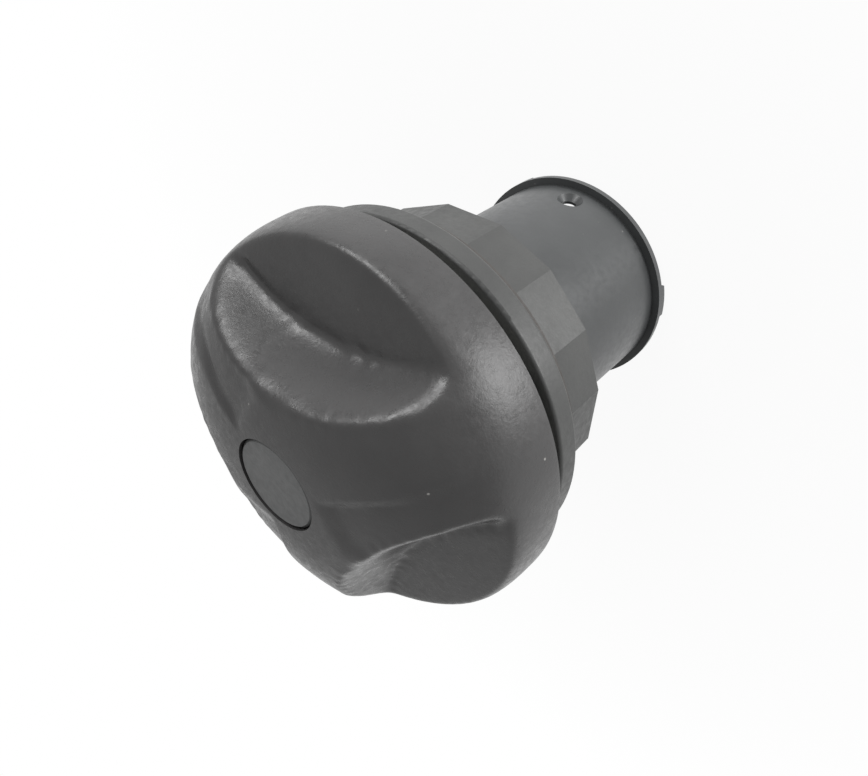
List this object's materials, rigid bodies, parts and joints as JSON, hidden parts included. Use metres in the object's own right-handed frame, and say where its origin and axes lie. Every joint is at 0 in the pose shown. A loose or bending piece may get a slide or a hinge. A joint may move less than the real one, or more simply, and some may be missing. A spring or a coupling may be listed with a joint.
{
  "type": "fuel filler cap",
  "caption": "Domed fuel filler cap with a finger-scooped ratchet grip, flange disc and gasket, faceted clamp collar, open insert tube and sprung vent valves inside.",
  "frame": {"origin": "middle of the circle that the insert's feet stand on, at the bottom of the cap", "axes": "+Z along the cap's axis, from the insert's end to the grip's crown"},
  "size_m": [0.084, 0.084, 0.097],
  "materials": {
    "grip_plastic": "soft-touch charcoal, fine grain",
    "plug_plastic": "satin charcoal",
    "body_plastic": "moulded charcoal",
    "tube_plastic": "smooth satin charcoal",
    "valve_plastic": "natural moulded",
    "seal_rubber": "matt",
    "zinc_steel": "zinc plated",
    "spring_steel": "drawn wire"
  },
  "bodies": {
    "closure": {"closure_body": "body_plastic", "pawl_ring": "valve_plastic", "thrust_washer": "valve_plastic", "flange_gasket": "seal_rubber", "clamp_collar": "body_plastic", "insert_tube": "tube_plastic", "tube_o_ring": "seal_rubber", "housing_gasket": "seal_rubber", "valve_housing": "valve_plastic", "valve_cover": "valve_plastic", "grip_screw": "zinc_steel", "screw_washer": "zinc_steel", "pressure_spring": "spring_steel"},
    "grip": {"grip_cover": "grip_plastic", "centre_plug": "plug_plastic", "ratchet_ring": "valve_plastic", "ratchet_screws": "zinc_steel"},
    "pressure_valve": {"pressure_plate": "valve_plastic", "plate_seal": "seal_rubber", "vacuum_spring": "spring_steel"},
    "vacuum_valve": {"vacuum_poppet": "valve_plastic", "stem_clip": "spring_steel"}
  },
  "joints": [
    {"name": "grip_turn", "type": "hinge", "parent": "closure", "child": "grip", "pos_m": [0, 0, 0.08], "axis": [0, 0, 1], "continuous": true},
    {"name": "pressure_lift", "type": "slide", "parent": "closure", "child": "pressure_valve", "axis": [0, 0, 1], "range_m": [0, 0.003], "stiffness_N_per_m": 200, "springref_m": -0.012, "deforming": ["pressure_spring"]},
    {"name": "vacuum_drop", "type": "slide", "parent": "pressure_valve", "child": "vacuum_valve", "axis": [0, 0, -1], "range_m": [0, 0.002], "stiffness_N_per_m": 40, "springref_m": -0.006, "deforming": ["vacuum_spring"]}
  ]
}
